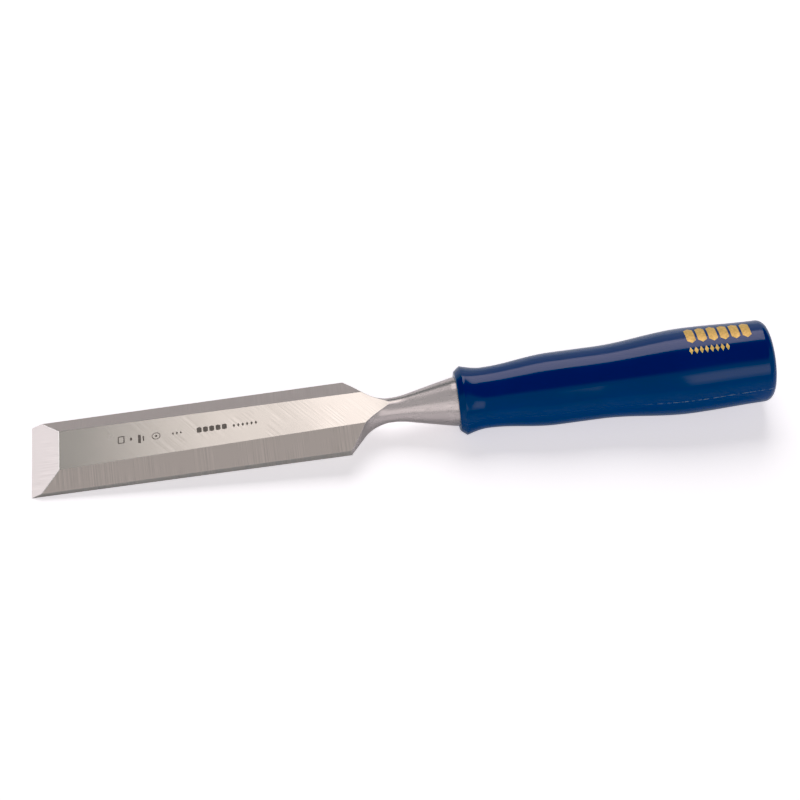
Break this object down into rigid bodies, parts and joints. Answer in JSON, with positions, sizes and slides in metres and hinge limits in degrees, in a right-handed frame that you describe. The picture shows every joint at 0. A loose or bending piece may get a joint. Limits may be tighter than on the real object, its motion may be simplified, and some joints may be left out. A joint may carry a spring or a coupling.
{
  "type": "bench chisel",
  "caption": "Bevel-edge bench chisel: steel blade with side bevels, conical bolster and hidden tang in a moulded plastic handle.",
  "frame": {"origin": "middle of the cutting edge, in the plane of the flat back", "axes": "+X from the cutting edge to the butt of the handle, +Y across the blade, +Z out of the bevelled face"},
  "size_m": [0.266, 0.032, 0.0308],
  "materials": {
    "blade_steel": "surface-ground steel, satin on the neck",
    "handle_plastic": "glossy moulded plastic, deep blue"
  },
  "bodies": {
    "root": {"blade": "blade_steel", "handle": "handle_plastic"}
  },
  "joints": []
}
